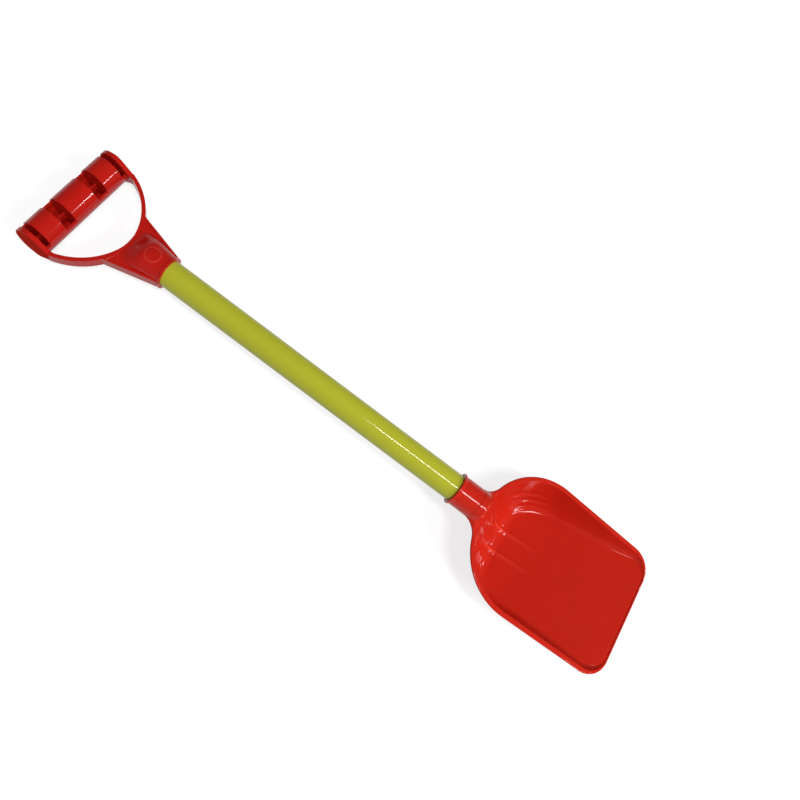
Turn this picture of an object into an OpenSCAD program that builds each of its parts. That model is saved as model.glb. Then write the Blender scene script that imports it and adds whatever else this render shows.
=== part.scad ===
// Toy sand shovel: a moulded D-grip handle, a straight tube and a deep scoop.
// It lies on its back, scoop open upwards, resting on the heel of the scoop and on the grip.
// Each piece is drawn about the middle of the bare tube, with the tube along Y and the grip
// at +Y, and lay_down() then turns the whole tool into its resting place.

/* [Tube] */
// Outer diameter of the tube
tube_d = 23; // [18:0.5:28]
// Wall of the tube
tube_wall = 1.6; // [1:0.1:3]
// Length of tube that shows between the two sockets
tube_clear = 280.5; // [180:0.5:400]
// Radial play between the tube and its sockets
socket_play = 0.05; // [0:0.05:0.3]

/* [Sockets] */
// Wall of both sockets
socket_wall = 1.5; // [1:0.1:2.5]
// Depth of tube held in the handle
handle_hold = 17; // [12:1:17]
// Depth of tube held in the scoop
scoop_hold = 27; // [15:1:28]
// Rounding of the closed end of the scoop's socket
nose_r = 8; // [4:0.5:10]
// How far the lip round each socket mouth stands out
lip_rise = 1; // [0.5:0.1:2]
// Length of the lip along the tube
lip_len = 1.8; // [1:0.1:4]

/* [Grip] */
// Diameter of the grip
grip_d = 26; // [22:0.5:30]
// Length of the grip between its end plates
grip_len = 87.2; // [80:0.2:110]
// Distance from the socket mouth to the grip axis
grip_reach = 90.2; // [85:0.1:115]
// Wall of the half-shells
grip_wall = 2; // [1.4:0.1:3]
// Thickness of the cross walls between the half-shells
grip_cross_wall = 1.5; // [1:0.1:2.5]
// Thickness of the web along the grip
grip_web = 1.6; // [1:0.1:2.5]
// Height of the web above the parting plane
grip_web_rise = 0.5; // [0:0.1:4]
// Height of a front pocket's rim above the parting plane
pocket_rim = 2; // [1:0.1:5]
// Depth of a back pocket's rim below the parting plane
back_rim = 6.5; // [1:0.1:8]
// Length of the middle half-shell
mid_shell_len = 22.6; // [18:0.2:28]
// Length of each pocket beside the middle half-shell
pocket_len = 12; // [9:0.1:14]
// Length of the narrow pocket at each end of the grip
end_pocket_len = 5.2; // [3:0.1:6]

/* [Handle frame] */
// Thickness of the grip's end plates
end_plate = 3.8; // [3:0.1:6]
// Width of the bevel round the end faces
end_bevel = 0.5; // [0.2:0.1:2.5]
// Distance from the socket mouth to the hand opening
opening_reach = 38; // [36:0.1:46]
// Radius of the opening at the neck
opening_base_r = 34.2; // [30:0.1:38]
// Radius of the opening's sides
opening_side_r = 53.1; // [50:0.1:60]
// Turn of the outline from the middle to where the side radius takes over
opening_turn = 19; // [10:1:40]
// Thickness of the bow
bow_t = 3.2; // [2.4:0.1:5]
// Depth of the bow from front to back
bow_depth = 8.5; // [6:0.1:14]
// Distance below the grip axis where the bow has tapered to its depth
taper_len = 16; // [14:0.5:36]
// Half width of the neck where its edges leave the bow
neck_half_w = 25; // [20:0.5:30]
// Thickness of the neck's web
neck_web = 7; // [4:0.1:8]
// Half width of the neck's body where it meets the hand opening
body_half_w = 21; // [16:0.5:23]
// Half thickness of the body there
body_half_t = 4.5; // [4.4:0.1:6]
// Length over which the body flattens to the hand opening
ease_len = 20; // [18:0.1:20]
// How far the body stands out from the socket barrel
body_rise = 0.1; // [0.1:0.1:0.5]
// Width of the raised rims along the neck
neck_rim_w = 1.8; // [1:0.1:4]
// Radius of the round boss on the handle socket
boss_r = 6.3; // [4:0.1:8]
// How far the boss stands proud
boss_rise = 0.5; // [0.2:0.1:1]
// Distance from the socket mouth to the middle of the boss
boss_reach = 14.4; // [10:0.1:18]

/* [Scoop outline] */
// Greatest width across the rim
scoop_w = 120.6; // [100:0.2:140]
// Width across the rim at the front, before the corners round off
front_w = 115; // [94:0.2:134]
// Distance from the socket mouth to the front edge
scoop_reach = 181.4; // [165:0.1:210]
// Distance from the shoulder's centre to the front edge
shoulder_reach = 97.8; // [85:0.1:110]
// Radius of the shoulders
shoulder_r = 54; // [50:0.5:60]
// Radius of the front corners
corner_r = 19.5; // [8:0.5:26]
// Radius of the hollow between socket and shoulder
neck_r = 17; // [10:0.5:22]
// Distance from the socket mouth to the top of the heel's slope
slope_reach = 29; // [27:0.5:34]
// How far the front edge bows out in its middle
front_bow = 0; // [0:0.1:3]

/* [Scoop depth] */
// Wall of the scoop
scoop_wall = 2.2; // [1.6:0.1:3]
// Depth of the front edge below the tube axis
front_z = 8.2; // [4:0.1:12]
// Rise of the rim per millimetre towards the socket
rim_slope = 0.05; // [0:0.002:0.08]
// Fall of the floor per millimetre towards the socket
floor_slope = 0.322; // [0.2:0.002:0.4]
// Distance from the socket mouth to the back edge of the floor
heel_reach = 74; // [66:0.5:80]
// Width of the flat lip round the rim
rim_w = 4; // [2.5:0.1:6]
// Width of the lip at the front edge
front_lip_w = 1.4; // [0.8:0.1:3]
// Inset of the floor's edge from the lip where the sides are deepest
side_run = 11; // [6:0.5:16]
// Length of the rounded heel corners along the scoop
heel_corner_len = 30; // [24:0.5:36]
// Depth of the steps on the heel corners
tread_rise = 0.8; // [0:0.1:1.5]

/* [Scoop ribs] */
// Distance of each rib from the middle
rib_x = 10; // [6:0.1:11]
// Radius of the ribs
rib_r = 1.3; // [0.8:0.1:1.6]
// Depth of the ribs' centre line below the surface
rib_sink = 0.2; // [0:0.05:0.5]
// Length of the ribs along the floor
rib_len = 28; // [20:1:60]

/* [Hidden] */
$fn = 96;
red = "#b71c16";
olive = "#a7a82f";

tube_r = tube_d / 2;
bore_r = tube_r + socket_play;
socket_r = bore_r + socket_wall;
lip_r = socket_r + lip_rise;
mouth_y = tube_clear / 2;

// Grip and frame
grip_r = grip_d / 2;
grip_y = mouth_y + grip_reach;
opening_y = mouth_y + opening_reach;
ease_y = opening_y - ease_len;
shell_in_r = grip_r - grip_wall;
half_bow = bow_depth / 2;
// Half-shell limits from the middle outwards; the ends lie on the end plates
mid_x = mid_shell_len / 2;
pocket_x = mid_x + pocket_len;
end_x = grip_len / 2 - end_pocket_len;
handle_w = grip_len + 2 * end_plate;

// Overrun of every cut
over = socket_wall;

// Scoop outline: circles of shoulder, neck hollow and front corner
front_y = -mouth_y - scoop_reach;
shoulder_c = [scoop_w / 2 - shoulder_r, front_y + shoulder_reach];
neck_c = [socket_r + neck_r,
    shoulder_c.y + sqrt(pow(shoulder_r + neck_r, 2) - pow(socket_r + neck_r - shoulder_c.x, 2))];
corner_c = [front_w / 2 - corner_r, front_y + corner_r];
neck_end = 180 + atan2(neck_c.y - shoulder_c.y, neck_c.x - shoulder_c.x);
to_corner = corner_c - shoulder_c;
side_turn = atan2(to_corner.y, to_corner.x) + acos((shoulder_r - corner_r) / norm(to_corner));

// Points in each stretch of half the outline: neck top, neck hollow, shoulder, side, corner, front
steps = [4, 4, 16, 8, 7, 7];
wall_rings = 26;
back_rings = 8;
floor_rings = 3;
treads = 4;
// Share of the way down the wall where the treads start and end
tread_shares = [0.2, 1];
// Handles of the curve that the wall follows from lip to floor, as shares of its run and drop
heel_shares = [[0.25, 0.45], [0.62, 1.136]];
side_shares = [[0.3, 0.62], [0.6, 1]];

function circle_at(c, r, a) = [c.x + r * cos(a), c.y + r * sin(a)];
function mix(a, b, t) = a + (b - a) * t;
function mix_turn(from, to, i, n) = mix(from, to, i / n);
// Half outline of the rim, from the middle of the back round +X to the middle of the front
rim_half = concat(
    [for (i = [0:steps[0] - 1]) [socket_r * i / steps[0], neck_c.y]],
    [for (i = [0:steps[1] - 1]) circle_at(neck_c, neck_r, mix_turn(180, neck_end, i, steps[1]))],
    [for (i = [0:steps[2] - 1]) circle_at(shoulder_c, shoulder_r,
        mix_turn(neck_end - 180, side_turn, i, steps[2]))],
    [for (i = [0:steps[3] - 1]) mix(circle_at(shoulder_c, shoulder_r, side_turn),
        circle_at(corner_c, corner_r, side_turn), i / steps[3])],
    [for (i = [0:steps[4] - 1]) circle_at(corner_c, corner_r,
        mix_turn(side_turn, -90, i, steps[4]))],
    [for (i = [0:steps[5]]) let (x = corner_c.x * (1 - i / steps[5]))
        [x, front_y - front_bow * (1 - pow(x / corner_c.x, 2))]]);
last = len(rim_half) - 1;
// Index of the first point of each stretch
marks = [for (k = 0, s = 0; k < len(steps); s = s + steps[k], k = k + 1) s];

// Lip width along the outline: full to the corner, then narrowing to the front
function lip_at(i) = mix(rim_w, front_lip_w, min(1, max(0, (i - marks[4]) / steps[4])));
function tangent(p, i) = let (a = p[max(0, i - 1)], b = p[min(last, i + 1)],
    d = i == 0 || i == last ? [1, 0] * sign(b.x - a.x) : b - a) d / norm(d);
function inset(p, i, d) = let (t = tangent(p, i)) p[i] + d * [t.y, -t.x];
// Round the neck the lip's inner edge swings from the top of the heel's slope to the shoulder
shoulder_lip = inset(rim_half, marks[2], rim_w);
slope_y = -mouth_y - slope_reach;
lip_half = [for (i = [0:last]) let (t = i / marks[2]) t < 1 ?
    [shoulder_lip.x * t, mix(slope_y, shoulder_lip.y, t * t)] : inset(rim_half, i, lip_at(i))];
// Share of the lip that stands out beyond the outer face of the wall
lip_out_share = 0.45;
skin_half = [for (i = [0:last]) mix(rim_half[i], lip_half[i], lip_out_share)];

function rim_z(y) = -front_z + rim_slope * (y - front_y);
function floor_z(y) = -front_z - floor_slope * (y - front_y);
// Half outline of the floor, point for point with the rim. Beside the sides and the front it stays
// clear of the lip by a run that grows with the root of the depth, and round the heel it is an arc.
floor_back_y = -mouth_y - heel_reach;
heel_end_y = floor_back_y - heel_corner_len;
neck_w = lip_half[marks[2]].x;
side_top = rim_half[marks[3]];
side_end = rim_half[marks[4]];
function depth(y) = max(0, rim_z(y) - floor_z(y));
function run(y) = side_run * sqrt(depth(y) / depth(heel_end_y));
function side_x(y) = mix(side_top.x, side_end.x, (y - side_top.y) / (side_end.y - side_top.y))
    - rim_w - run(y);
floor_half = concat(
    [for (i = [0:marks[2] - 1]) [lip_half[i].x, floor_back_y]],
    [for (i = [0:steps[2] - 1]) let (a = 90 * i / steps[2])
        [mix(neck_w, side_x(heel_end_y), sin(a)), mix(heel_end_y, floor_back_y, cos(a))]],
    [for (i = [0:steps[3] - 1]) let (y = mix(heel_end_y, side_end.y, i / steps[3])) [side_x(y), y]],
    [for (i = [marks[4]:last]) inset(rim_half, i, lip_at(i) + run(lip_half[i].y))]);

// Share of the shoulder passed at point i: 0 at the neck, 1 at the side
function past_shoulder(i) = min(1, max(0, (i - marks[2]) / steps[2]));
// Steps fade in and out across the shoulder and down the wall, as a share of the wall's drop
function tread(i, s) = let (k = (s - tread_shares[0]) / (tread_shares[1] - tread_shares[0]))
    k <= 0 || k >= 1 ? 0 : tread_rise / (rim_z(lip_half[i].y) - floor_z(floor_half[i].y))
    * sin(360 * treads * k) * pow(sin(180 * past_shoulder(i)), 2) * min(1, 4 * (1 - k), 4 * k);
// Cubic curve from 0 to 1 with two handles
function curve(a, b, s) = 3 * pow(1 - s, 2) * s * a + 3 * (1 - s) * s * s * b + s * s * s;
function handles(i) = mix(heel_shares, side_shares, past_shoulder(i));
function wall_in(i, s) = curve(handles(i)[0][0], handles(i)[1][0], s);
function wall_down(i, s) = curve(handles(i)[0][1], handles(i)[1][1], s);

// Point of the wall at share s of its curve, with its tread running ahead in plan and behind in depth
function wall_point(top, bottom, drop, i, s, w) = let (p = mix(top[i], bottom[i], wall_in(i, s + w)))
    [p.x, p.y, mix(rim_z(top[i].y), floor_z(bottom[i].y), wall_down(i, s - w)) - drop];
function grow(i) = inset(floor_half, i, -scoop_wall);
foot_half = [for (i = [0:last]) grow(i)];
floor_front_y = floor_half[last].y;

function mirrored(half) = concat(half, [for (i = [last - 1:-1:1]) [-half[i].x, half[i].y, half[i].z]]);
function flat_ring(half, z) = mirrored([for (p = half) [p.x, p.y, z == undef ? 0 : z]]);
floor_mid = [0, (floor_back_y + floor_front_y) / 2];

inner_floor = [for (k = [1:floor_rings - 1]) mirrored([for (p = floor_half)
    let (q = mix(floor_mid, p, k / floor_rings)) [q.x, q.y, floor_z(q.y)]])];
inner_wall = [for (k = [wall_rings:-1:0]) mirrored([for (i = [0:last])
    wall_point(lip_half, floor_half, 0, i, k / wall_rings, tread(i, k / wall_rings))])];
rim_edge = [
    mirrored([for (p = rim_half) [p.x, p.y, rim_z(p.y)]]),
    mirrored([for (p = rim_half) [p.x, p.y, rim_z(p.y) - scoop_wall]])];
outer_wall = [for (k = [0:back_rings]) mirrored([for (i = [0:last])
    wall_point(skin_half, foot_half, scoop_wall, i, k / back_rings, 0)])];
shell_rings = concat(inner_floor, inner_wall, rim_edge, outer_wall);
ring_n = 2 * last;
shell_points = concat([[0, floor_mid.y, floor_z(floor_mid.y)]], [for (r = shell_rings) each r],
    [[0, floor_mid.y, floor_z(floor_mid.y) - scoop_wall]]);
shell_last = len(shell_points) - 1;
function spot(k, j) = 1 + k * ring_n + j % ring_n;
shell_faces = concat(
    [for (j = [0:ring_n - 1]) [0, spot(0, j), spot(0, j + 1)]],
    [for (k = [0:len(shell_rings) - 2], j = [0:ring_n - 1], h = [0, 1])
        h == 0 ? [spot(k, j), spot(k + 1, j), spot(k + 1, j + 1)]
               : [spot(k, j), spot(k + 1, j + 1), spot(k, j + 1)]],
    [for (j = [0:ring_n - 1]) let (k = len(shell_rings) - 1) [shell_last, spot(k, j + 1), spot(k, j)]]);

// Resting place: the line that touches the grip and the heel from below becomes level
function lean(p) = let (d = [grip_y - p.y, -p.z]) atan2(d.y, d.x) - asin(grip_r / norm(d));
lay_turn = -max([for (r = outer_wall, p = r) lean(p)]);
lift_z = grip_r - grip_y * sin(lay_turn);
laid_front = min([for (r = rim_edge, p = r) p.y * cos(lay_turn) - p.z * sin(lay_turn)]);
laid_back = grip_y * cos(lay_turn) + grip_r;
slide_y = -(laid_front + laid_back) / 2;

// Faces of a closed run of rings 0 to end, each of so many sides
function tube_faces(end, sides) = concat(
    [[for (a = [sides - 1:-1:0]) a]],
    [for (i = [0:end - 1], a = [0:sides - 1]) let (b = (a + 1) % sides)
        [i * sides + a, i * sides + b, (i + 1) * sides + b, (i + 1) * sides + a]],
    [[for (a = [0:sides - 1]) end * sides + a]]);

module lay_down() {
    translate([0, slide_y, lift_z]) rotate([lay_turn, 0, 0]) children();
}

// A cylinder along Y from y0 to y1
module along_y(r, y0, y1) {
    translate([0, y1, 0]) rotate([90, 0, 0]) cylinder(r = r, h = y1 - y0);
}

// A section drawn in the plane across the grip (x = forwards along Y, y = up) run along X
module along_x(x0, x1) {
    translate([x0, 0, 0]) rotate([90, 0, 90]) linear_extrude(x1 - x0) children();
}

// Closed end of the scoop's socket, as a distance from the middle of the tube
nose_y = mouth_y + scoop_hold + nose_r - socket_wall;

// A socket's outside from its mouth at y0 to its closed end at y1, which is rounded by r
module socket_barrel(y0, y1, r) {
    along_y(socket_r, y0, y1 - r);
    along_y(socket_r - r, y1 - r, y1);
    translate([0, y1 - r, 0]) rotate([-90, 0, 0]) rotate_extrude() intersection() {
        translate([socket_r - r, 0]) circle(r);
        square([socket_r, r]);
    }
    along_y(lip_r, y0, y0 + lip_len);
}

// Hand opening seen from the front, widened all round by t: a circle at the neck that runs over
// into two larger side circles, which it touches from inside
module opening(t) {
    base_y = opening_y + opening_base_r;
    apart = opening_side_r - opening_base_r;
    swap_y = base_y - (opening_base_r + t) * cos(opening_turn);
    translate([0, base_y]) circle(opening_base_r + t);
    intersection() {
        translate([-apart * sin(opening_turn), base_y + apart * cos(opening_turn)])
            circle(opening_side_r + t);
        translate([apart * sin(opening_turn), base_y + apart * cos(opening_turn)])
            circle(opening_side_r + t);
        translate([-handle_w, swap_y]) square([2 * handle_w, grip_y - swap_y]);
    }
}

// Bow seen from the front
module bow_outline() {
    difference() {
        intersection() {
            opening(bow_t);
            translate([-handle_w / 2, mouth_y]) square([handle_w, grip_y - mouth_y]);
        }
        intersection() {
            opening(0);
            translate([-grip_len / 2, mouth_y]) square([grip_len, grip_y + over - mouth_y]);
        }
    }
}

// Bow seen from the side, spreading to the grip's end plates
module bow_side() {
    turn = asin((grip_r - half_bow) / taper_len);
    translate([grip_y, 0]) circle(grip_r);
    polygon([
        [grip_y - grip_r * sin(turn), grip_r * cos(turn)],
        [grip_y - taper_len, half_bow],
        [mouth_y, half_bow],
        [mouth_y, -half_bow],
        [grip_y - taper_len, -half_bow],
        [grip_y - grip_r * sin(turn), -grip_r * cos(turn)]]);
}

// Neck edges, from the socket mouth to the bow
module neck_outline(inset_w) {
    bow_r = opening_base_r + bow_t;
    bow_y = opening_y + opening_base_r - sqrt(pow(bow_r, 2) - pow(neck_half_w, 2));
    polygon([
        [-socket_r + inset_w, mouth_y],
        [socket_r - inset_w, mouth_y],
        [neck_half_w - inset_w, bow_y],
        [neck_half_w - inset_w, opening_y + bow_r],
        [-neck_half_w + inset_w, opening_y + bow_r],
        [-neck_half_w + inset_w, bow_y]]);
}

// Oval rings from the lip to past the hand opening: round at the lip, wide and flat at the opening
module neck_body() {
    rings = 20;
    sides = 48;
    round_r = socket_r + body_rise;
    start_y = mouth_y + lip_len / 2;
    end_y = opening_y + opening_base_r - sqrt(pow(opening_base_r, 2) - pow(neck_half_w, 2));
    points = [for (k = [0:rings]) let (
        y = mix(start_y, end_y, k / rings),
        eased = min(1, max(0, (y - ease_y) / ease_len)),
        w = mix(round_r, body_half_w, k / rings),
        t = mix(round_r, body_half_t, eased * eased * (3 - 2 * eased)))
        for (a = [0:sides - 1]) [w * cos(360 * a / sides), y, t * sin(360 * a / sides)]];
    polyhedron(points, tube_faces(rings, sides), convexity = 4);
}

// One pocket of the grip between x0 and x1, open to the front (side 1) or the back (side -1)
module grip_pocket(x0, x1, side) {
    along_x(x0, x1) translate([grip_y, 0]) scale([1, side]) difference() {
        union() {
            circle(shell_in_r);
            translate([-grip_r - over, side > 0 ? pocket_rim : back_rim])
                square([2 * (grip_r + over), grip_r + over]);
        }
        translate([-grip_web / 2, -grip_r]) square([grip_web, grip_r + grip_web_rise]);
    }
}

module grip_pockets() {
    w = grip_cross_wall / 2;
    grip_pocket(-mid_x + w, mid_x - w, -1);
    for (s = [0, 1]) mirror([s, 0, 0]) {
        grip_pocket(mid_x + w, pocket_x - w, 1);
        grip_pocket(pocket_x + w, end_x - w, -1);
        grip_pocket(end_x + w, grip_len / 2, 1);
    }
}

module d_handle() {
    color(red) lay_down() difference() {
        union() {
            // Bow
            intersection() {
                translate([0, 0, -grip_r]) linear_extrude(2 * grip_r) bow_outline();
                along_x(-handle_w / 2, handle_w / 2) bow_side();
            }
            // Grip with its end plates, bevelled round the end faces
            along_x(end_bevel - handle_w / 2, handle_w / 2 - end_bevel)
                translate([grip_y, 0]) circle(grip_r);
            for (s = [0, 1]) mirror([s, 0, 0]) translate([handle_w / 2 - end_bevel, grip_y, 0])
                rotate([0, 90, 0]) cylinder(r1 = grip_r, r2 = grip_r - end_bevel, h = end_bevel);
            // Neck web with raised rims along both edges
            translate([0, 0, -neck_web / 2]) linear_extrude(neck_web) difference() {
                neck_outline(0);
                opening(0);
            }
            translate([0, 0, -half_bow]) linear_extrude(bow_depth) difference() {
                neck_outline(0);
                neck_outline(neck_rim_w);
                opening(0);
            }
            // Socket barrel with its mouth lip
            along_y(socket_r, mouth_y, ease_y);
            along_y(lip_r, mouth_y, mouth_y + lip_len);
            // Body that spreads and flattens from the barrel to the hand opening
            difference() {
                neck_body();
                translate([0, 0, -grip_r]) linear_extrude(2 * grip_r) opening(0);
            }
            // Bare round boss on the front of the barrel
            intersection() {
                along_y(socket_r + boss_rise, mouth_y, ease_y);
                translate([0, mouth_y + boss_reach, 0]) cylinder(r = boss_r, h = grip_d);
            }
        }
        grip_pockets();
        along_y(bore_r, mouth_y - over, mouth_y + handle_hold);
    }
}

module tube() {
    color(olive) lay_down() difference() {
        along_y(tube_r, -mouth_y - scoop_hold, mouth_y + handle_hold);
        along_y(tube_r - tube_wall, -mouth_y - scoop_hold - over, mouth_y + handle_hold + over);
    }
}

// Path of a rib: down the heel and out along the floor, sinking into it at the end
rib_top = lip_half[0].y;
rib_steps = 20;
function rib_wall(s) = [rib_x, mix(rib_top, floor_back_y, wall_in(0, s)),
    mix(rim_z(rib_top), floor_z(floor_back_y), wall_down(0, s)) - rib_sink];
rib_path = concat(
    [for (k = [0:rib_steps]) rib_wall(k / rib_steps)],
    [for (k = [1:rib_steps / 2]) let (t = 2 * k / rib_steps, y = floor_back_y - rib_len * t)
        [rib_x, y, floor_z(y) - rib_sink - rib_r * t * t]]);

module scoop_rib() {
    sides = 8;
    end = len(rib_path) - 1;
    points = [for (i = [0:end]) let (
        d = rib_path[min(end, i + 1)] - rib_path[max(0, i - 1)],
        t = d / norm(d),
        up = [0, -t.z, t.y])
        for (a = [0:sides - 1]) rib_path[i] + rib_r * (cos(360 * a / sides) * [1, 0, 0]
            + sin(360 * a / sides) * up)];
    polyhedron(points, tube_faces(end, sides), convexity = 4);
}

module scoop() {
    color(red) lay_down() difference() {
        union() {
            polyhedron(shell_points, shell_faces, convexity = 6);
            for (s = [0, 1]) mirror([s, 0, 0]) scoop_rib();
            // Socket barrel with its mouth lip and a nose that ends on the heel
            mirror([0, 1, 0]) socket_barrel(mouth_y, nose_y, nose_r);
        }
        along_y(bore_r, -mouth_y - scoop_hold, -mouth_y + over);
    }
}

d_handle();
tube();
scoop();
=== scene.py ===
"""Looks of a child's sand shovel: glossy red handle and scoop, olive tube, plain white studio."""

import math

import bpy
import mathutils
import numpy as np
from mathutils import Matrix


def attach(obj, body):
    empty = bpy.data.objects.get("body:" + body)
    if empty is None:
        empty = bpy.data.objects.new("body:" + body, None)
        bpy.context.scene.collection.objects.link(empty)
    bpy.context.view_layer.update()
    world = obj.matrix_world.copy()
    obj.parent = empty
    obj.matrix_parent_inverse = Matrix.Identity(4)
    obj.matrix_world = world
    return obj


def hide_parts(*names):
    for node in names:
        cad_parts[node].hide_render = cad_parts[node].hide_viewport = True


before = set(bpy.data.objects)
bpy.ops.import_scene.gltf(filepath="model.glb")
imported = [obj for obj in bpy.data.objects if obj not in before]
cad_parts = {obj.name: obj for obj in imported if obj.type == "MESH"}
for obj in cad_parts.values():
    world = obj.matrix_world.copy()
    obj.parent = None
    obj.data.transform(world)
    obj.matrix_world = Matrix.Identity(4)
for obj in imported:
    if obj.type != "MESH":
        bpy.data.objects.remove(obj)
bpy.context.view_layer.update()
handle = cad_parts["d_handle"]

MM = 0.001

# The shovel's own sizes in millimetres, the same as in its construction. Points are worked out about
# the middle of the bare tube, with the tube along Y and the grip at +Y.

# How it is laid down: the turn about X that it rests at, then the shift along Y and up
TILT = math.radians(-4.37048)
SLIDE = 39.3637
LIFT = 30.5615

# Tube and sockets
TUBE_R = 11.5
TUBE_WALL = 1.6
BORE_R = 11.55
SOCKET_R = 13.05
LIP_R = 14.05
LIP_LEN = 1.8
MOUTH = 140.25
HANDLE_HOLD = 17.0
SCOOP_HOLD = 27.0

# Outline of the scoop's rim, from above
SCOOP_W = 120.6
FRONT_W = 115.0
FRONT_Y = -MOUTH - 181.4
SHOULDER_Y = FRONT_Y + 97.8
SHOULDER_R = 54.0
CORNER_R = 19.5
NECK_R = 17.0

# Depth of the scoop: the rim falls to the front, and the floor rises to it. The side run is how far the
# floor's edge lies in from the lip where the scoop is deepest.
WALL = 2.2
FRONT_Z = 8.2
RIM_SLOPE = 0.05
FLOOR_SLOPE = 0.322
RIM_W = 4.0
FRONT_LIP_W = 1.4
SIDE_RUN = 11.0
# The top of the heel's slope, the floor's back edge and the length of that edge's round corners
SLOPE_Y = -MOUTH - 29
HEEL_Y = -MOUTH - 74
HEEL_LEN = 30.0

# The two ribs that run down from the scoop's socket, and the round boss on the handle's neck
RIB_X = 10.0
RIB_LEN = 28.0
BOSS_R = 6.3
BOSS_REACH = 14.4
BOSS_RISE = 0.5


def laid(points):
    """Tube-frame millimetres to metres where the shovel lies: turned about X by the tilt, then lifted and
    slid along Y."""
    x, y, z = points[..., 0], points[..., 1], points[..., 2]
    along = y * math.cos(TILT) - z * math.sin(TILT) + SLIDE
    up = y * math.sin(TILT) + z * math.cos(TILT) + LIFT
    return MM * np.stack([x, along, up], -1)


def grid_faces(rows, columns, wrap_rows=False):
    """Quads between neighbouring points of a rows x columns grid, whose columns always wrap round."""
    r = np.arange(rows if wrap_rows else rows - 1)[:, None]
    c = np.arange(columns)[None, :]
    r2, c2 = (r + 1) % rows, (c + 1) % columns
    corners = [r * columns + c, r * columns + c2, r2 * columns + c2, r2 * columns + c]
    return np.stack(corners, -1).reshape(-1, 4)


def add_piece(name, parts, material, node):
    """One smooth object from (points, quads) parts in tube-frame millimetres, in place of a node."""
    verts, faces, base = [], [], 0
    for points, quads in parts:
        flat = points.reshape(-1, 3)
        verts.append(laid(flat))
        faces.append(quads + base)
        base += len(flat)
    mesh = bpy.data.meshes.new(name)
    mesh.from_pydata(np.concatenate(verts).tolist(), [], np.concatenate(faces).tolist())
    mesh.update()
    mesh.shade_smooth()
    mesh.materials.append(material)
    piece = bpy.data.objects.new(name, mesh)
    bpy.context.scene.collection.objects.link(piece)
    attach(piece, "root")
    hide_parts(node)


def mix(a, b, t):
    """The value at share t of the way from a to b."""
    return a + (b - a) * t


# Turned shapes

LATHE_SEGMENTS = 128
ARC_STEPS = 6
# How far outside its corner's arc a straight run gets one more point, which keeps its shading straight
HOLD = 0.07


def lathe(corners):
    """A closed profile turned once round the tube's axis. Each corner is (radius, place along the tube,
    rounding), and each profile point (r, y) goes to (r sin a, y, r cos a)."""
    corners = np.array(corners)
    profile = rounded_profile(corners[:, :2], corners[:, 2])
    a = np.linspace(0, 2 * np.pi, LATHE_SEGMENTS, endpoint=False)
    y = np.broadcast_to(profile[:, 1:], (len(profile), LATHE_SEGMENTS))
    points = np.stack([profile[:, :1] * np.sin(a), y, profile[:, :1] * np.cos(a)], -1)
    return points, grid_faces(len(profile), LATHE_SEGMENTS, wrap_rows=True)


def rounded_profile(corners, radii):
    """A closed outline with each corner rounded from one straight run to the next: the corner, plus its
    radius times the unit vector to the corner before it, times (1 - t) squared, plus its radius times the
    unit vector to the corner after it, times t squared."""
    t = np.linspace(0, 1, ARC_STEPS)[:, None]
    out = []
    for k, (p, r) in enumerate(zip(corners, radii)):
        a, b = corners[k - 1] - p, corners[(k + 1) % len(corners)] - p
        a, b = a / np.linalg.norm(a), b / np.linalg.norm(b)
        out += [[p + (r + HOLD) * a], p + r * (a * (1 - t) ** 2 + b * t**2), [p + (r + HOLD) * b]]
    return np.concatenate(out)


# Length of the slope behind the lip
LIP_CHAMFER = 0.6
# The socket's far end, hidden in the scoop: its outer bevel, its reach into the bore and its thickness
END_BEVEL = 0.5
END_REACH = 1.0
END_T = 1.5
# How far the tube stops short of that end, and the rounding of the tube's cut edges
TUBE_GAP = 0.2
CUT_R = 0.3


def scoop_barrel():
    """The scoop's socket, with a lip round its mouth."""
    mouth, end = -MOUTH, -MOUTH - SCOOP_HOLD
    return lathe(
        [
            (BORE_R, mouth, 0.5),
            (LIP_R, mouth, 0.6),
            (LIP_R, mouth - LIP_LEN, 0.5),
            (SOCKET_R, mouth - LIP_LEN - LIP_CHAMFER, 0.5),
            (SOCKET_R, end + END_BEVEL, 0.2),
            (BORE_R - END_REACH, end, 0.1),
            (BORE_R, end + END_T, 0.1),
        ]
    )


def hollow_tube():
    """The tube, from deep in the scoop's socket to deep in the handle's."""
    inner = TUBE_R - TUBE_WALL
    low, high = -MOUTH - SCOOP_HOLD + TUBE_GAP, MOUTH + HANDLE_HOLD
    return lathe([(inner, low, CUT_R), (TUBE_R, low, CUT_R), (TUBE_R, high, CUT_R), (inner, high, CUT_R)])


# The scoop

# The stretches of half an outline, from the middle of the heel to the middle of the front: the points in
# each, and the number of each one's first point
TOP, NECK, SHOULDER, SIDE, CORNER, FRONT = range(6)
STEPS = np.array([14, 16, 72, 40, 24, 24])
MARKS = np.concatenate([[0], np.cumsum(STEPS)])


def arc(centre, r, a0, a1, n):
    """n points on a circle from angle a0 towards a1 in degrees, without the one at a1."""
    a = np.radians(np.linspace(a0, a1, n, endpoint=False))
    return np.stack([centre[0] + r * np.cos(a), centre[1] + r * np.sin(a)], -1)


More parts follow.
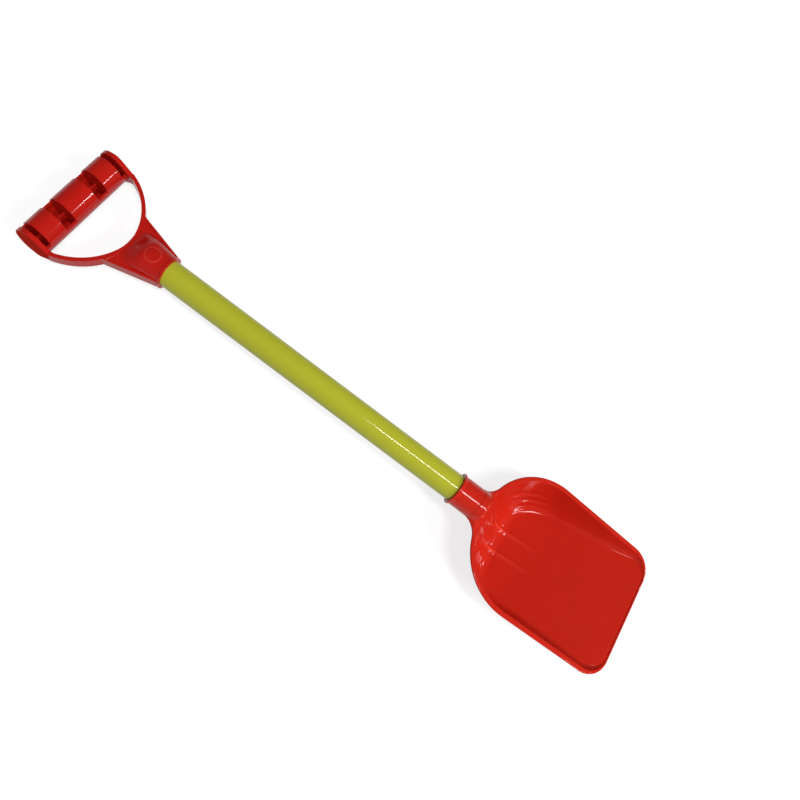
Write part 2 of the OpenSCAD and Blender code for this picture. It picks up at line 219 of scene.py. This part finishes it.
def rim_outline():
    """Half of the rim, made of arcs and straight lines that are joined tangentially, and the two ends of
    its straight side."""
    shoulder = np.array([SCOOP_W / 2 - SHOULDER_R, SHOULDER_Y])
    neck_x = SOCKET_R + NECK_R
    rise = math.sqrt((SHOULDER_R + NECK_R) ** 2 - (neck_x - shoulder[0]) ** 2)
    neck = np.array([neck_x, shoulder[1] + rise])
    corner = np.array([FRONT_W / 2 - CORNER_R, FRONT_Y + CORNER_R])
    neck_end = 180 + math.degrees(math.atan2(neck[1] - shoulder[1], neck[0] - shoulder[0]))
    to = corner - shoulder
    lean = math.degrees(math.acos((SHOULDER_R - CORNER_R) / np.hypot(*to)))
    side_turn = math.degrees(math.atan2(to[1], to[0])) + lean
    top_x = SOCKET_R * np.arange(STEPS[TOP]) / STEPS[TOP]
    side0 = arc(shoulder, SHOULDER_R, side_turn, side_turn, 1)[0]
    side1 = arc(corner, CORNER_R, side_turn, side_turn, 1)[0]
    front_x = corner[0] * (1 - np.arange(STEPS[FRONT] + 1) / STEPS[FRONT])
    stretches = [
        np.stack([top_x, np.full(len(top_x), neck[1])], -1),
        arc(neck, NECK_R, 180, neck_end, STEPS[NECK]),
        arc(shoulder, SHOULDER_R, neck_end - 180, side_turn, STEPS[SHOULDER]),
        mix(side0, side1, (np.arange(STEPS[SIDE]) / STEPS[SIDE])[:, None]),
        arc(corner, CORNER_R, side_turn, -90, STEPS[CORNER]),
        np.stack([front_x, np.full(len(front_x), FRONT_Y)], -1),
    ]
    return np.concatenate(stretches), side0, side1


def scoop_outlines():
    """Half outlines of the rim, the lip's inner edge and the floor, inside and outside, point for point.
    The lip follows the rim at its own width, but crosses the heel along a parabola. The floor's edge keeps
    clear of the lip by a run that grows with the root of the depth, and rounds the heel along an ellipse.
    The lip's width and the direction inwards go with them."""
    rim, side0, side1 = rim_outline()
    i = np.arange(len(rim))
    d = rim[np.minimum(i + 1, len(rim) - 1)] - rim[np.maximum(i - 1, 0)]
    d[0], d[-1] = (1, 0), (-1, 0)
    d /= np.hypot(d[:, 0], d[:, 1])[:, None]
    inward = np.stack([d[:, 1], -d[:, 0]], -1)
    lip_w = mix(RIM_W, FRONT_LIP_W, np.clip((i - MARKS[CORNER]) / STEPS[CORNER], 0, 1))
    lip = rim + inward * lip_w[:, None]
    k = MARKS[SHOULDER]
    t = i[:k] / k
    lip[:k, 0], lip[:k, 1] = lip[k, 0] * t, mix(SLOPE_Y, lip[k, 1], t * t)
    end_y = HEEL_Y - HEEL_LEN

    def run(y):
        return SIDE_RUN * np.sqrt(np.maximum(y - FRONT_Y, 0) / (end_y - FRONT_Y))

    def side_x(y):
        return mix(side0[0], side1[0], (y - side0[1]) / (side1[1] - side0[1])) - RIM_W - run(y)

    turn = np.pi / 2 * np.arange(STEPS[SHOULDER]) / STEPS[SHOULDER]
    side_y = mix(end_y, side1[1], np.arange(STEPS[SIDE]) / STEPS[SIDE])
    heel = [mix(lip[k, 0], side_x(end_y), np.sin(turn)), mix(end_y, HEEL_Y, np.cos(turn))]
    floor = rim + inward * (lip_w + run(lip[:, 1]))[:, None]
    floor[:k] = np.stack([lip[:k, 0], np.full(k, HEEL_Y)], -1)
    floor[k : MARKS[SIDE]] = np.stack(heel, -1)
    floor[MARKS[SIDE] : MARKS[CORNER]] = np.stack([side_x(side_y), side_y], -1)
    foot = floor - inward * WALL
    return rim, lip, floor, foot, lip_w, inward


def rim_height(y):
    """Height of the rim: a straight line that falls towards the front."""
    return -FRONT_Z + RIM_SLOPE * (y - FRONT_Y)


def floor_height(y):
    """Height of the floor's inside: a straight line that falls from the front edge towards the heel."""
    return -FRONT_Z - FLOOR_SLOPE * (y - FRONT_Y)


# The first and second handle, each for plan and for depth, of the wall's curves from lip to floor: on the
# heel's straight slope and on the sides
HEEL_HANDLES = np.array([[0.25, 0.45], [0.62, 1.136]])
SIDE_HANDLES = np.array([[0.3, 0.62], [0.6, 1.0]])
# The treads on the heel corners: their number, the stretch of the wall that they take, how far each stands
# out, and the steepness with which they fade in and out over that stretch
TREADS = 4
TREAD_FROM = 0.2
TREAD_TO = 1.0
TREAD_RISE = 0.76
TREAD_FADE = 4


def wall_ring(top, bottom, drop, s, treads=True):
    """The wall at share s of the way from lip to floor. Plan and depth each follow a cubic curve: three
    times (1 - t) squared times t times its first handle, plus three times (1 - t) times t squared times its
    second, plus t cubed. The handles change from the heel to the sides. On the heel corners plan runs ahead
    of depth and behind it in turn, along a sine, which makes the treads."""
    i = np.arange(len(top))
    past = np.clip((i - MARKS[SHOULDER]) / STEPS[SHOULDER], 0, 1)
    depth = rim_height(top[:, 1]) - floor_height(bottom[:, 1])
    k = (s - TREAD_FROM) / (TREAD_TO - TREAD_FROM)
    w = np.zeros(len(top))
    if treads and 0 < k < 1:
        fade = min(1, TREAD_FADE * k, TREAD_FADE * (1 - k)) * np.sin(np.pi * past) ** 2
        w = TREAD_RISE / depth * math.sin(2 * math.pi * TREADS * k) * fade

    def curve(column, t):
        a = mix(HEEL_HANDLES[0, column], SIDE_HANDLES[0, column], past)
        b = mix(HEEL_HANDLES[1, column], SIDE_HANDLES[1, column], past)
        return 3 * (1 - t) ** 2 * t * a + 3 * (1 - t) * t * t * b + t**3

    plan = mix(top, bottom, curve(0, s + w)[:, None])
    height = mix(rim_height(top[:, 1]), floor_height(bottom[:, 1]), curve(1, s - w)) - drop
    return np.column_stack([plan, height])


# Rings of the scoop's skin: up the floor's inside, up the wall, over the lip, round its edge, down the
# wall's outside and back under the floor
FLOOR_RINGS = 40
WALL_RINGS = 110
LIP_SHARES = (0.2, 0.5, 0.8)
EDGE_RINGS = 13
OUTSIDE_RINGS = 40
UNDER_RINGS = 10
# The half-round edge is half the wall's thickness deep, or this share of a narrower lip's width
EDGE_SHARE = 0.4
# How far in from the rim, as a share of the lip's width, the outside of the wall starts down
OUTSIDE_SHARE = 0.45


def scoop_shell():
    """Closed rings from the middle of the floor up the inside, over the lip, down the outside and back to
    the middle, as one skin. The socket's nose and the two ribs rise out of the inner side of it."""
    rim, lip, floor, foot, lip_w, inward = scoop_outlines()
    middle = np.array([0, (HEEL_Y + floor[-1, 1]) / 2])
    rings = []
    for share in np.linspace(0, 1, FLOOR_RINGS)[1:-1]:
        plan = mix(middle, floor, share)
        rings.append(np.column_stack([plan, floor_height(plan[:, 1])]))
    for share in np.linspace(1, 0, WALL_RINGS):
        rings.append(wall_ring(lip, floor, 0, share))
    edge = np.minimum(WALL / 2, EDGE_SHARE * lip_w)[:, None]
    for share in LIP_SHARES:
        plan = mix(lip, rim + inward * edge, share)
        rings.append(np.column_stack([plan, rim_height(plan[:, 1])]))
    inner_count = len(rings)
    for a in np.radians(np.linspace(0, 180, EDGE_RINGS)):
        plan = rim + inward * edge * (1 - math.sin(a))
        rings.append(np.column_stack([plan, rim_height(rim[:, 1]) - WALL / 2 * (1 - math.cos(a))]))
    outside = mix(rim, lip, OUTSIDE_SHARE)
    for share in np.linspace(0, 1, OUTSIDE_RINGS):
        rings.append(wall_ring(outside, foot, WALL, share, treads=False))
    for share in np.linspace(1, 0, UNDER_RINGS)[1:-1]:
        plan = mix(middle, foot, share)
        rings.append(np.column_stack([plan, floor_height(plan[:, 1]) - WALL]))
    half = np.stack(rings)
    half[:inner_count] = raised(half[:inner_count])
    mirror = half[:, -2:0:-1] * (-1, 1, 1)
    full = np.concatenate([half, mirror], 1)
    rows, columns = full.shape[:2]
    # A point in the middle closes the first ring and the last, with quads over each three points in a row
    inside = floor_height(middle[1])
    poles = np.array([[middle[0], middle[1], inside], [middle[0], middle[1], inside - WALL]])
    pole = rows * columns
    last = (rows - 1) * columns
    c = np.arange(0, columns, 2)
    cap0 = np.stack([np.full(len(c), pole), (c + 2) % columns, c + 1, c], -1)
    cap1 = np.stack([np.full(len(c), pole + 1), last + c, last + c + 1, last + (c + 2) % columns], -1)
    points = np.concatenate([full.reshape(-1, 3), poles])
    return points, np.concatenate([grid_faces(rows, columns)[:, ::-1], cap0[:, ::-1], cap1[:, ::-1]])


# The closed end of the scoop's socket, called its nose: where it starts to bend down, how gently, and its
# steepest slope
NOSE_FROM = -MOUTH - 21.0
NOSE_BEND = 9.0
NOSE_SLOPE = 1.7
# Shares of the socket's radius: where the nose's half-round ends, and where its flared foot is level. The
# foot's rise makes the two meet there in height and in slope.
DOME_TO = 0.8
FOOT_TO = 1.7
FOOT_RISE = 0.741
# The hollow where the nose meets the heel, and how far it can reach, across in radii and along in mm
NOSE_HOLLOW = 6.0
HOLLOW_ACROSS = 2.5
HOLLOW_ALONG = 40
# Height of a rib, its half width, the runs over which it fades in at its top and out along the floor, and
# the power of the fade, which keeps it high for longer
RIB_RISE = 1.4
RIB_HALF = 2.1
RIB_TOP_FADE = 8
RIB_FADE = 16
RIB_FADE_POWER = 0.7
# Sine and cosine of the heel's slope under the ribs, and the run over which it takes over from the floor
HEEL_SINE = 0.75
HEEL_COSINE = 0.66
HEEL_EASE = 3


def smooth_max(a, b, k):
    """The greater of two heights, with a round hollow of size k where they meet: a mix of both, plus k
    times h times (1 - h), where h is the first one's share and grows from 0 to 1 as it overtakes the
    second."""
    h = np.clip(0.5 + 0.5 * (a - b) / k, 0, 1)
    return mix(b, a, h) + k * h * (1 - h)


def raised(points):
    """Lifts the inner skin where the socket's nose and the ribs stand on it. The nose is a half-round that
    flares out at its foot: its height over the axis is the root of r*r - x*x, and further out a parabola
    that becomes level and then falls away. All of it sinks along a parabola and then a straight slope until
    it has run into the heel. A rib is a bell curve across, and stands square to the slope it lies on."""
    x, y, z = points[..., 0], points[..., 1], points[..., 2]
    share = np.abs(x) / SOCKET_R
    dome = np.sqrt(np.maximum(1 - share**2, 0))
    foot = FOOT_RISE * (FOOT_TO - share) * np.abs(FOOT_TO - share)
    past = np.maximum(NOSE_FROM - y, 0)
    bend = np.minimum(past, NOSE_BEND * NOSE_SLOPE)
    sunk = bend**2 / (2 * NOSE_BEND) + NOSE_SLOPE * (past - bend)
    nose = SOCKET_R * np.where(share < DOME_TO, dome, foot) - sunk
    close = (share < HOLLOW_ACROSS) & (past < HOLLOW_ALONG)
    z = np.where(close, smooth_max(z, nose, NOSE_HOLLOW), z)
    fade = np.clip((y - (HEEL_Y - RIB_LEN)) / RIB_FADE, 0, 1) ** RIB_FADE_POWER
    fade = fade * np.clip((SLOPE_Y - y) / RIB_TOP_FADE, 0, 1)
    rib = RIB_RISE * np.exp(-(((np.abs(x) - RIB_X) / RIB_HALF) ** 2)) * fade
    steep = np.clip((y - HEEL_Y) / HEEL_EASE, 0, 1)
    return np.stack([x, y - rib * HEEL_SINE * steep, z + rib * mix(1, HEEL_COSINE, steep)], -1)


# Materials


def from_hex(code):
    """sRGB hex to the linear colour that the shader wants."""
    c = np.array([int(code[k : k + 2], 16) / 255 for k in (1, 3, 5)])
    return (*np.where(c <= 0.04045, c / 12.92, ((c + 0.055) / 1.055) ** 2.4).tolist(), 1.0)


def add_node(tree, kind, settings=None, links=None):
    """Adds one shader node. Settings are its own properties or its inputs' values, and links give an input
    its output. An input goes by its name, or by its number where several share a name."""
    node = tree.nodes.new(kind)
    for key, value in (settings or {}).items():
        if isinstance(key, int) or key in node.inputs:
            node.inputs[key].default_value = value
        else:
            setattr(node, key, value)
    for key, output in (links or {}).items():
        tree.links.new(output, node.inputs[key])
    return node


def cleared_tree(owner):
    """The empty node tree of a material or a world."""
    owner.use_nodes = True
    owner.node_tree.nodes.clear()
    return owner.node_tree


# Numbers of the Mix node's two colour inputs and its colour output
MIX_A, MIX_B, MIXED = 6, 7, 2
# Half widths of the painted highlights, paler bands: across a rib, along it as a share of its length, and
# at the boss's edge. A rib's band is centred a little to the socket's side of the floor's back edge.
RIB_HIGHLIGHT = 2.4
RIB_HIGHLIGHT_LEN = 1.1
RIB_HIGHLIGHT_BACK = 2
BOSS_HIGHLIGHT = 1.1


def near(tree, value, middle, half):
    """1 where a value is at the middle, falling smoothly to 0 at half a band's width either side."""
    away = add_node(tree, "ShaderNodeMath", {"operation": "SUBTRACT", 1: middle}, {0: value})
    away = add_node(tree, "ShaderNodeMath", {"operation": "ABSOLUTE"}, {0: away.outputs[0]})
    band = {"interpolation_type": "SMOOTHSTEP", "From Min": 0.0, "From Max": half}
    band.update({"To Min": 1.0, "To Max": 0.0})
    return add_node(tree, "ShaderNodeMapRange", band, {"Value": away.outputs[0]}).outputs["Result"]


def rib_highlight(tree, place):
    """Where the painted highlight along the scoop's ribs lies: how near a point is to one of its two ribs,
    from Object coordinates.
    """
    part = add_node(tree, "ShaderNodeSeparateXYZ", {}, {0: place}).outputs
    aside = add_node(tree, "ShaderNodeMath", {"operation": "ABSOLUTE"}, {0: part["X"]})
    across = near(tree, aside.outputs[0], RIB_X * MM, RIB_HIGHLIGHT * MM)
    back = MM * ((HEEL_Y + RIB_HIGHLIGHT_BACK) * math.cos(TILT) + SLIDE)
    lengthwise = near(tree, part["Y"], back, RIB_HIGHLIGHT_LEN * RIB_LEN * MM)
    both = {0: across, 1: lengthwise}
    return add_node(tree, "ShaderNodeMath", {"operation": "MULTIPLY"}, both).outputs[0]


def boss_edge_highlight(tree, place):
    """Where the painted highlight round the handle's boss lies: how near a point is to the boss's edge,
    from Object coordinates.
    """
    top = laid(np.array([0, MOUTH + BOSS_REACH, SOCKET_R + BOSS_RISE])).tolist()
    centre = tuple(handle.matrix_world.inverted() @ mathutils.Vector(top))
    away = add_node(tree, "ShaderNodeVectorMath", {"operation": "DISTANCE", 1: centre}, {0: place})
    return near(tree, away.outputs["Value"], BOSS_R * MM, BOSS_HIGHLIGHT * MM)


# Polypropylene's own IOR. The specular level is below the usual 0.5, because the studio is paler than
# the room that the photograph's gloss mirrors, and would wash out the reds.
PLASTIC_IOR = 1.49
GLOSS = 0.2
# Sizes in millimetres of the pigment's faint clouds, of the slow waves that cooling leaves in a skin and of
# the skin's own grain. The real grain is far under a millimetre, too fine to show, and is drawn coarser,
# more so on the tube, whose skin is the smoother.
CLOUD_MM = 60
WAVE_MM = 14
GRAIN_MM = 1.2
TUBE_GRAIN_MM = 2.5
# Depth of the grain and the waves in millimetres, and the strength of the bump that they make
GRAIN_DEPTH, GRAIN_BUMP = 0.05, 0.012
WAVE_DEPTH, WAVE_BUMP = 0.15, 0.07
# The grain varies the roughness between these shares of it, over the values that its noise mostly takes
SMOOTHER, ROUGHER = 0.8, 1.25
NOISE_LOW, NOISE_HIGH = 0.3, 0.7
# More levels of detail give a noise finer specks. Clouds and waves are smooth, and the grain is less so.
CLOUD_DETAIL, WAVE_DETAIL, GRAIN_DETAIL = 2.0, 1.0, 3.0
BEVEL_SAMPLES = 6


def polypropylene(name, colour, deep, roughness, edge_mm, grain_mm=GRAIN_MM, gloss=GLOSS, painted_highlight=None):
    """Polypropylene with the faint unevenness of its mould or die, a colour slightly deeper where pigment
    flowed thick, and rounded edges. The last argument, if given, is a pattern and a paler colour, which it
    mixes in where the pattern lies: a painted highlight."""
    material = bpy.data.materials.new(name)
    tree = cleared_tree(material)
    place = add_node(tree, "ShaderNodeTexCoord").outputs["Object"]
    clouds = {"Scale": 1 / (CLOUD_MM * MM), "Detail": CLOUD_DETAIL}
    flow = add_node(tree, "ShaderNodeTexNoise", clouds, {"Vector": place})
    tints = {"data_type": "RGBA", MIX_A: from_hex(colour), MIX_B: from_hex(deep)}
    base = add_node(tree, "ShaderNodeMix", tints, {"Factor": flow.outputs["Fac"]}).outputs[MIXED]
    # A painted highlight: a paler colour mixed in where its pattern lies
    if painted_highlight:
        pattern, pale = painted_highlight
        tints = {"data_type": "RGBA", MIX_B: from_hex(pale)}
        links = {"Factor": pattern(tree, place), MIX_A: base}
        base = add_node(tree, "ShaderNodeMix", tints, links).outputs[MIXED]
    grain = {"Scale": 1 / (grain_mm * MM), "Detail": GRAIN_DETAIL}
    skin = add_node(tree, "ShaderNodeTexNoise", grain, {"Vector": place})
    waves = {"Scale": 1 / (WAVE_MM * MM), "Detail": WAVE_DETAIL}
    wave = add_node(tree, "ShaderNodeTexNoise", waves, {"Vector": place})
    span = {"From Min": NOISE_LOW, "From Max": NOISE_HIGH}
    span.update({"To Min": roughness * SMOOTHER, "To Max": roughness * ROUGHER})
    rough = add_node(tree, "ShaderNodeMapRange", span, {"Value": skin.outputs["Fac"]})
    rounding = {"samples": BEVEL_SAMPLES, "Radius": edge_mm * MM}
    normal = add_node(tree, "ShaderNodeBevel", rounding).outputs["Normal"]
    for noise, depth, strength in ((skin, GRAIN_DEPTH, GRAIN_BUMP), (wave, WAVE_DEPTH, WAVE_BUMP)):
        relief = {"Strength": strength, "Distance": depth * MM}
        links = {"Height": noise.outputs["Fac"], "Normal": normal}
        normal = add_node(tree, "ShaderNodeBump", relief, links).outputs["Normal"]
    plastic = {"IOR": PLASTIC_IOR, "Specular IOR Level": gloss}
    looks = {"Base Color": base, "Roughness": rough.outputs["Result"], "Normal": normal}
    shader = add_node(tree, "ShaderNodeBsdfPrincipled", plastic, looks)
    add_node(tree, "ShaderNodeOutputMaterial", {}, {"Surface": shader.outputs["BSDF"]})
    return material


# The scoop: glossy, with a painted highlight along its ribs, a paler colour over them
red_scoop = polypropylene(
    "moulded polypropylene, red",
    "#cc2617",
    "#c52415",
    roughness=0.09,
    edge_mm=0.5,
    painted_highlight=(rib_highlight, "#db3927"),
)
# The handle: a deeper red with a softer gloss, and a painted highlight, a paler ring, round its boss's edge
red_handle = polypropylene(
    "moulded polypropylene, handle red",
    "#c01c14",
    "#b91a12",
    roughness=0.11,
    edge_mm=0.3,
    painted_highlight=(boss_edge_highlight, "#c9352b"),
)
# The flat ends of the grip: a mould finished by sparks leaves them matt, without highlights
red_matt = polypropylene(
    "spark-textured polypropylene, handle red",
    "#d63427",
    "#cf3124",
    roughness=0.6,
    edge_mm=0.3,
    gloss=0.0,
)
# The tube: extruded, so its skin is smooth and its highlight is one long sharp line
lime_tube = polypropylene(
    "extruded polypropylene, olive lime",
    "#b7b932",
    "#b2b42f",
    roughness=0.08,
    edge_mm=0.3,
    grain_mm=TUBE_GRAIN_MM,
)


# Pieces

add_piece("scoop_skin", [scoop_shell(), scoop_barrel()], red_scoop, "scoop")
add_piece("tube_skin", [hollow_tube()], lime_tube, "tube")

# A face counts as an outer end if it lies this far out and faces this squarely, as shares of the most
OUTERMOST = 0.99


def outer_ends(mesh):
    """1 for each face on the flat outer ends of the grip, the furthest out along X, and 0 for the rest."""
    centres, normals = (np.zeros(3 * len(mesh.polygons)) for _ in range(2))
    mesh.polygons.foreach_get("center", centres)
    mesh.polygons.foreach_get("normal", normals)
    out, square = np.abs(centres[::3]), np.abs(normals[::3])
    return ((out > OUTERMOST * out.max()) & (square > OUTERMOST)).astype(int)


handle.data.materials.clear()
handle.data.materials.append(red_handle)
handle.data.materials.append(red_matt)
handle.data.polygons.foreach_set("material_index", outer_ends(handle.data))


# Studio

scene = bpy.context.scene

# The room is pale all round and below and dim overhead, so that gloss shows walls and not the ceiling. The
# light from a direction depends on its height, which is the sine of its elevation.
WALLS_LIGHT = 0.35
WALLS_TOP = 0.08
CEILING_LIGHT = 0.12
CEILING_FROM = 0.55
# One wide soft light comes from the left and the front. It is brightest in this direction, and fades out
# where the cosine of the angle to it has come down to its edge.
SOFT_FROM = (-0.78, -0.35, 0.52)
SOFT_EDGE = 0.1
SOFT_LIGHT = 0.2


def light_room():
    """The world's light: a smooth step from walls to ceiling, and a smooth side lobe added to it."""
    scene.world = bpy.data.worlds.new("white walls, dim ceiling")
    tree = cleared_tree(scene.world)
    look = add_node(tree, "ShaderNodeTexCoord").outputs["Generated"]
    toward = add_node(tree, "ShaderNodeSeparateXYZ", {}, {0: look})
    walls = {"interpolation_type": "SMOOTHSTEP", "From Min": WALLS_TOP, "From Max": CEILING_FROM}
    walls.update({"To Min": WALLS_LIGHT, "To Max": CEILING_LIGHT})
    height = add_node(tree, "ShaderNodeMapRange", walls, {"Value": toward.outputs["Z"]})
    cosine = {"operation": "DOT_PRODUCT", 1: SOFT_FROM}
    facing = add_node(tree, "ShaderNodeVectorMath", cosine, {0: look})
    lobe = {"interpolation_type": "SMOOTHSTEP", "From Min": SOFT_EDGE, "From Max": 1.0}
    lobe.update({"To Min": 0.0, "To Max": SOFT_LIGHT})
    soft = add_node(tree, "ShaderNodeMapRange", lobe, {"Value": facing.outputs["Value"]})
    both = {0: height.outputs["Result"], 1: soft.outputs["Result"]}
    light = add_node(tree, "ShaderNodeMath", {"operation": "ADD"}, both)
    room = add_node(tree, "ShaderNodeBackground", {"Color": (1, 1, 1, 1)}, {"Strength": light.outputs[0]})
    add_node(tree, "ShaderNodeOutputWorld", {}, {"Surface": room.outputs[0]})


def strip_light(name, start, end, aim, width, power):
    """A strip light that runs from start to end, turned about its length to face aim. Places and width are
    in metres and power is in watts."""
    start, end, aim = (np.array(v, float) for v in (start, end, aim))
    data = bpy.data.lights.new(name, "AREA")
    data.shape = "RECTANGLE"
    data.size, data.size_y = float(np.linalg.norm(end - start)), width
    data.energy = power
    along = (end - start) / np.linalg.norm(end - start)
    back = (start + end) / 2 - aim
    back -= along * (back @ along)
    back /= np.linalg.norm(back)
    turned = np.stack([along, np.cross(back, along), back], -1)
    lamp = bpy.data.objects.new(name, data)
    scene.collection.objects.link(lamp)
    lamp.rotation_mode = "QUATERNION"
    lamp.location = ((start + end) / 2).tolist()
    lamp.rotation_quaternion = mathutils.Matrix(turned.tolist()).to_quaternion()


light_room()
# Each strip stands where it puts a highlight that the photograph shows: the first on the tube and the
# scoop's socket, the second on the grip and the third on the heel
strip_light(
    "overhead strip",
    start=(-0.33, -0.06, 2.0),
    end=(-0.33, -0.68, 2.0),
    aim=(-0.1, -0.18, 0),
    width=0.25,
    power=21,
)
strip_light(
    "front strip",
    start=(0.98, -1.9, 1.35),
    end=(0.98, -2.16, 1.85),
    aim=(0, 0, 0),
    width=0.2,
    power=22,
)
strip_light(
    "low front lamp",
    start=(-0.95, -1.5, 1.7),
    end=(-0.05, -2.0, 1.7),
    aim=(0.03, -0.19, 0),
    width=0.13,
    power=19,
)


# Floor: white to the camera and in gloss, with the shovel's shadow, and grey for the light it throws back

FLOOR_HALF = 4
FLOOR_Z = -0.001
PAPER = 0.3
GLOW = 0.78

ends = ((-1, -1), (1, -1), (1, 1), (-1, 1))
floor_mesh = bpy.data.meshes.new("white floor")
floor_mesh.from_pydata([(x * FLOOR_HALF, y * FLOOR_HALF, FLOOR_Z) for x, y in ends], [], [(0, 1, 2, 3)])
floor_piece = bpy.data.objects.new("white floor", floor_mesh)
scene.collection.objects.link(floor_piece)


def white_paper():
    """Diffuse grey paper, which also glows for rays from the camera, from gloss and through glass."""
    material = bpy.data.materials.new("white paper")
    tree = cleared_tree(material)
    path = add_node(tree, "ShaderNodeLightPath").outputs
    seen = path["Is Camera Ray"]
    for ray in ("Is Glossy Ray", "Is Transmission Ray"):
        either = {0: seen, 1: path[ray]}
        seen = add_node(tree, "ShaderNodeMath", {"operation": "MAXIMUM"}, either).outputs[0]
    paper = add_node(tree, "ShaderNodeBsdfDiffuse", {"Color": (PAPER, PAPER, PAPER, 1)})
    glow = add_node(tree, "ShaderNodeEmission", {"Color": (1, 1, 1, 1), "Strength": GLOW})
    lit = add_node(tree, "ShaderNodeAddShader", {}, {0: paper.outputs[0], 1: glow.outputs[0]})
    shown = add_node(tree, "ShaderNodeMixShader", {}, {0: seen, 1: paper.outputs[0], 2: lit.outputs[0]})
    add_node(tree, "ShaderNodeOutputMaterial", {}, {"Surface": shown.outputs[0]})
    return material


floor_mesh.materials.append(white_paper())


# Camera: where the photograph was taken from, fitted to the outlines of the grip, the tube and the scoop

CAMERA_PLACE = (-0.154928, 0.059108, 0.464943)
# Rows of the matrix that turns the camera's axes to the world's
CAMERA_TURN = (
    (0.558027, 0.763277, -0.325597),
    (-0.780459, 0.616055, 0.106583),
    (0.281938, 0.194639, 0.939482),
)
SENSOR_MM = 36
LENS_MM = 26.319
# The middle of the photograph isn't on the lens axis that the fit found
SHIFT_X = 0.07525
SHIFT_Y = 0.01147

camera_data = bpy.data.cameras.new("camera")
camera_data.sensor_width = SENSOR_MM
camera_data.lens = LENS_MM
camera_data.shift_x = SHIFT_X
camera_data.shift_y = SHIFT_Y
camera_data.clip_start = 0.01
camera_data.clip_end = 20
camera = bpy.data.objects.new("camera", camera_data)
scene.collection.objects.link(camera)
scene.camera = camera
camera.rotation_mode = "QUATERNION"
camera.location = CAMERA_PLACE
camera.rotation_quaternion = mathutils.Matrix(CAMERA_TURN).to_quaternion()

scene.view_settings.view_transform = "Standard"
